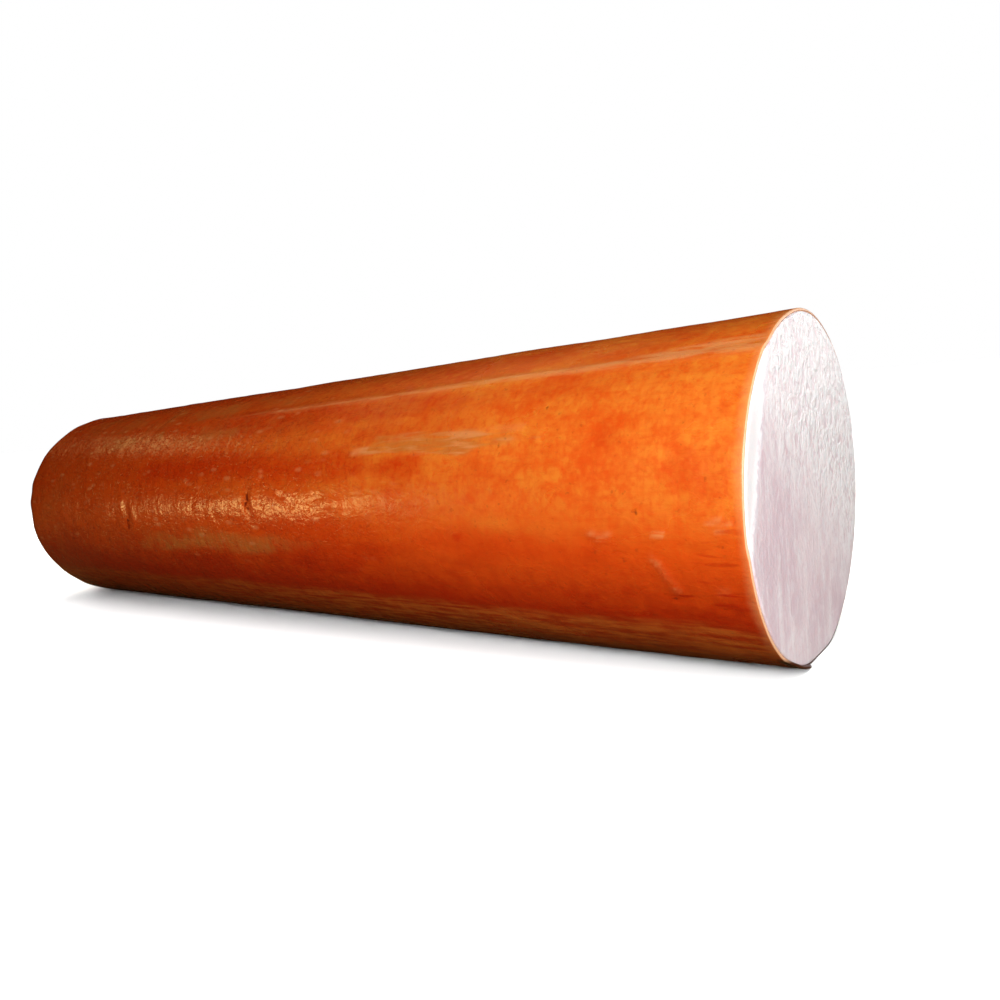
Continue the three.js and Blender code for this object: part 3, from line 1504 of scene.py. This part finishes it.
LAMPS = (
    Lamp("key", (0.34, -0.40, 0.22), (0.10, 0.0, 0.05), 0.20, 0.20, 2.28),
    Lamp("side", (-0.475, -0.455, 0.06), (0.01, -0.05, 0.055), 0.22, 0.10, 0.38, WARM, lights=False),
    Lamp("upper_side", (-0.74, -0.12, 0.46), (-0.05, -0.04, 0.085), 0.22, 0.10, 0.07, WARM, lights=False),
    Lamp("strip", (-0.38, 0.16, 0.62), (0.05, -0.03, 0.09), 0.9, 0.03, 0.15, WARM, lights=False),
    Lamp("top", (-0.20, 0.55, 0.55), (0.05, 0.0, 0.09), 1.0, 0.5, 0.02, WARM),
    Lamp("face", (0.75, -0.10, 0.12), (0.209, 0.0, 0.05), 0.30, 0.20, 2.18, mirrored=False),
    Lamp("glare", (0.38, 0.575, 0.16), (0.209, 0.0, 0.08), 0.28, 0.22, 0.38),
    Lamp("far_top", (-0.26, 0.22, 0.46), (-0.12, 0.0, 0.10), 0.25, 0.25, 0.85, STRAW, mirrored=False),
    Lamp("rear", (0.0, 0.90, 0.08), (0.0, 0.0, 0.05), 1.0, 0.15, 2.7, mirrored=False),
    Lamp("end", (-0.75, 0.20, 0.16), (-0.209, 0.0, 0.05), 0.25, 0.25, 1.6, mirrored=False),
)


@dataclass(frozen=True)
class Studio:
    """The floor, the lights and the camera.

    Attributes:
        eye: Where the camera is.
        heading: How far it is turned from +Y towards -X, in degrees.
        dip: How far it looks down, in degrees.
        roll: How far its right side is turned down, in degrees.
        lens: Focal length in millimetres, on a sensor 36 mm wide.
        floor_size: Width of the floor.
        floor_shade: Colour of the floor.
        floor_bounce: Colour that the floor throws on the sausage.
        backdrop: How the backdrop looks.
        ambient: What the surroundings throw on the sausage.
        floor_light: Strength of the wide light that evens the floor.
        floor_spread: How wide that light is, in degrees.
        floor_tilt: How far it is tilted, in degrees.
    """

    eye: tuple[float, float, float] = (0.2820, -0.2457, 0.0856)
    heading: float = 37.388
    dip: float = 6.851
    roll: float = 5.580
    lens: float = 29.57
    floor_size: float = 30.0
    floor_shade: Colour = (0.80, 0.80, 0.80)
    floor_bounce: Colour = (0.040, 0.026, 0.008)
    backdrop: Colour = (1.0, 1.0, 1.0)
    ambient: Colour = (0.010, 0.007, 0.003)
    floor_light: float = 4.2
    floor_spread: float = 70.0
    floor_tilt: float = 12.0

    def camera(self) -> None:
        """Sets the camera."""
        data = bpy.data.cameras.new("camera")
        data.lens = self.lens
        data.sensor_width = 36.0
        data.clip_start = 10.0 * MM
        camera = bpy.data.objects.new("camera", data)
        turn = Matrix.Rotation(math.radians(self.heading), 4, "Z")
        turn = turn @ Matrix.Rotation(math.radians(90 - self.dip), 4, "X")
        turn = turn @ Matrix.Rotation(-math.radians(self.roll), 4, "Z")
        camera.matrix_world = Matrix.Translation(self.eye) @ turn
        bpy.context.collection.objects.link(camera)
        bpy.context.scene.camera = camera

    def floor(self) -> bpy.types.Object:
        """Makes the pale floor.

        Returns:
            The floor as an object.
        """
        mesh = bmesh.new()
        bmesh.ops.create_grid(mesh, x_segments=1, y_segments=1, size=self.floor_size / 2)
        data = bpy.data.meshes.new("floor")
        mesh.to_mesh(data)
        mesh.free()
        floor = bpy.data.objects.new("floor", data)
        finish = Finish("pale_floor")
        seen = finish.nodes.new("ShaderNodeLightPath").outputs["Is Camera Ray"]
        shade = finish.blend(seen, self.floor_bounce, self.floor_shade)
        finish.feed(finish.shader.inputs["Base Color"], shade)
        finish.shader.inputs["Specular IOR Level"].default_value = 0.0
        data.materials.append(finish.material)
        bpy.context.collection.objects.link(floor)
        return floor

    def wide_light(self, floor: bpy.types.Object) -> None:
        """An overhead light for the floor alone, so that it is evenly pale.

        Args:
            floor: The floor.
        """
        data = bpy.data.lights.new("wide", "SUN")
        data.energy = self.floor_light
        data.angle = math.radians(self.floor_spread)
        sun = bpy.data.objects.new("wide", data)
        sun.rotation_euler = (math.radians(self.floor_tilt), 0.0, 0.0)
        sun.visible_glossy = False
        group = bpy.data.collections.new("floor_only")
        group.objects.link(floor)
        sun.light_linking.receiver_collection = group
        bpy.context.collection.objects.link(sun)

    def surroundings(self) -> None:
        """A pale backdrop for the camera and a dim one for everything else."""
        world = bpy.data.worlds.new("surroundings")
        world.use_nodes = True
        bpy.context.scene.world = world
        tree = world.node_tree
        seen = tree.nodes.new("ShaderNodeLightPath").outputs["Is Camera Ray"]
        mix = tree.nodes.new("ShaderNodeMix")
        mix.data_type = "RGBA"
        tree.links.new(seen, mix.inputs["Factor"])
        mix.inputs[MIX_FIRST].default_value = (*self.ambient, 1.0)
        mix.inputs[MIX_SECOND].default_value = (*self.backdrop, 1.0)
        tree.links.new(mix.outputs[MIX_RESULT], tree.nodes["Background"].inputs["Color"])

    def build(self) -> None:
        """Sets the whole stage."""
        bpy.context.scene.view_settings.view_transform = "Standard"
        self.camera()
        self.wide_light(self.floor())
        self.surroundings()
        for lamp in LAMPS:
            lamp.build()


def report(piece: bpy.types.Object) -> None:
    """Logs a piece's size."""
    sides = ", ".join(f"{side / MM:.1f}" for side in piece.dimensions)
    log.info("%s: %d faces, %s mm", piece.name, len(piece.data.polygons), sides)


def main() -> None:
    """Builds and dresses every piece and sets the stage."""
    logging.basicConfig(level=logging.INFO, format="%(name)s %(message)s")
    form = SausageForm(*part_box("casing"))
    casing = Casing(form).build()
    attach(casing, "root")
    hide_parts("casing")
    report(casing)
    meat = Meat(form).build()
    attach(meat, "root")
    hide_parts("filling")
    report(meat)
    Studio().build()


if __name__ == "__main__":
    main()
